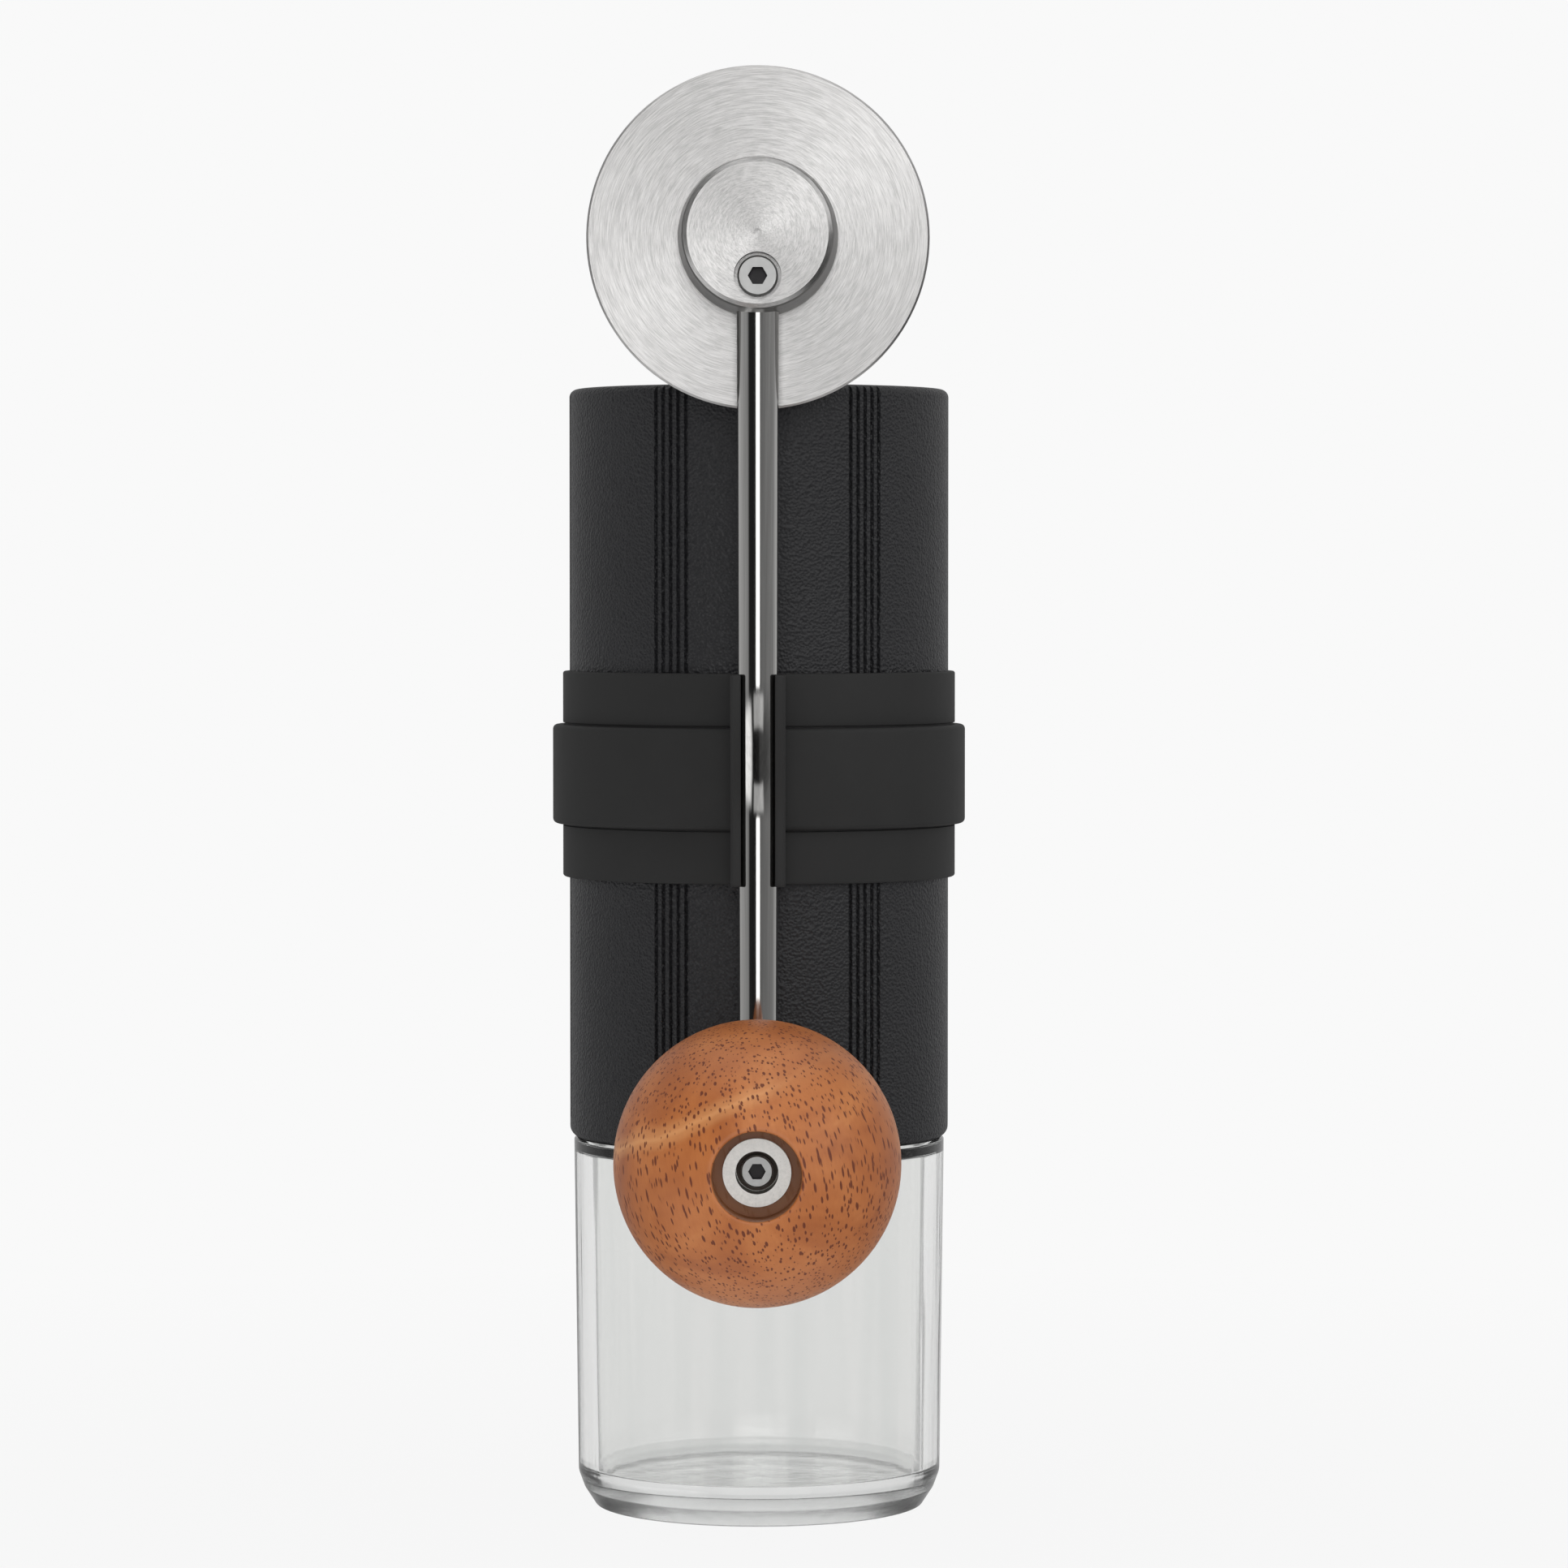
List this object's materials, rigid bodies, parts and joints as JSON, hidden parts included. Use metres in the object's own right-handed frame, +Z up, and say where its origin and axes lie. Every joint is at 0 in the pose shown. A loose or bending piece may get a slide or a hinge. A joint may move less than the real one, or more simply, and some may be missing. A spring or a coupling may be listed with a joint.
{
  "type": "hand crank coffee grinder",
  "caption": "Slim hand coffee grinder: grooved tube body, silicone grip with a clip for the detached crank, clear catch cup, steel crank with a wooden ball knob.",
  "frame": {"origin": "on the grinder's axis at the flat base of the catch cup", "axes": "+Z up along the drive shaft, -Y towards the clip that stores the crank, +X to the right seen from the crank's side"},
  "size_m": [0.061, 0.1061, 0.2099],
  "materials": {
    "body_coat": "black powder coat with a fine leathery texture, satin",
    "silicone": "smooth matte silicone",
    "bridge_alloy": "machined, satin",
    "spring_steel": "dark phosphate",
    "bearing_steel": "ground and polished",
    "ball_steel": "polished",
    "black_screw": "black oxide, satin",
    "burr_steel": "machined and hardened, satin",
    "shaft_steel": "ground",
    "spring_wire": "drawn wire",
    "dial_plastic": "fine matte",
    "clear_plastic": "clear, glossy moulded",
    "seal_silicone": "translucent grey silicone",
    "brushed_steel": "turned with fine concentric brushing",
    "gasket_rubber": "matte",
    "bush_plastic": "smooth",
    "turned_steel": "turned face with fine lathe rings, polished side",
    "polished_steel": "mirror polished",
    "screw_steel": "machined, satin",
    "washer_dark": "dark",
    "knob_wood": "oiled hardwood with open pores, satin",
    "sleeve_steel": "turned, satin"
  },
  "bodies": {
    "grinder_body": {"outer_body": "body_coat", "grip_band": "silicone", "upper_bridge": "bridge_alloy", "upper_snap_ring": "spring_steel", "upper_bearing_outer": "bearing_steel", "upper_bearing_balls": "ball_steel", "lower_bridge": "bridge_alloy", "lower_snap_ring": "spring_steel", "lower_bearing_outer": "bearing_steel", "lower_bearing_balls": "ball_steel", "burr_carrier": "bridge_alloy", "carrier_screws": "black_screw", "ring_burr": "burr_steel"},
    "drive": {"drive_shaft": "shaft_steel", "shaft_clips": "spring_steel", "burr_drive_pin": "shaft_steel", "shaft_end_screw": "black_screw", "shaft_end_washer": "shaft_steel", "upper_bearing_inner": "bearing_steel", "lower_bearing_inner": "bearing_steel"},
    "burr_slide": {"inner_burr": "burr_steel", "burr_spring": "spring_wire", "detent_balls": "ball_steel"},
    "dial": {"adjust_dial": "dial_plastic"},
    "cup": {"catch_cup": "clear_plastic", "cup_seal": "seal_silicone"},
    "lid": {"lid_plate": "brushed_steel", "lid_gasket": "gasket_rubber", "lid_bush": "bush_plastic"},
    "crank": {"crank_boss": "turned_steel", "crank_arm": "polished_steel", "arm_screw": "screw_steel", "drive_socket": "shaft_steel", "knob_spindle": "shaft_steel", "knob_screw": "screw_steel", "knob_washer": "washer_dark"},
    "knob": {"knob_ball": "knob_wood", "knob_sleeve": "sleeve_steel"}
  },
  "joints": [
    {"name": "crank_mount", "type": "hinge", "parent": "grinder_body", "child": "lid", "pos_m": [0, -0.026, 0.1595], "axis": [-1, 0, 0], "range_deg": [0, 90]},
    {"name": "crank_turn", "type": "hinge", "parent": "lid", "child": "crank", "pos_m": [0, -0.0315, 0.1855], "axis": [0, -1, 0], "continuous": true},
    {"name": "knob_spin", "type": "hinge", "parent": "crank", "child": "knob", "pos_m": [0, -0.0315, 0.0559], "axis": [0, -1, 0], "continuous": true},
    {"name": "shaft_spin", "type": "hinge", "parent": "grinder_body", "child": "drive", "pos_m": [0, 0, 0], "axis": [0, 0, 1], "continuous": true},
    {"name": "burr_drop", "type": "slide", "parent": "drive", "child": "burr_slide", "axis": [0, 0, -1], "range_m": [0, 0.00151], "deforming": ["burr_spring"]},
    {"name": "dial_turn", "type": "hinge", "parent": "burr_slide", "child": "dial", "pos_m": [0, 0, 0.06], "axis": [0, 0, 1], "range_deg": [0, 720]},
    {"name": "cup_pull", "type": "slide", "parent": "grinder_body", "child": "cup", "axis": [0, 0, -1], "range_m": [0, 0.03]}
  ],
  "couplings": [
    {"joint": "shaft_spin", "follows": "crank_turn", "ratio": 1},
    {"joint": "burr_drop", "follows": "dial_turn", "m_per_rad": 0.00011937}
  ]
}
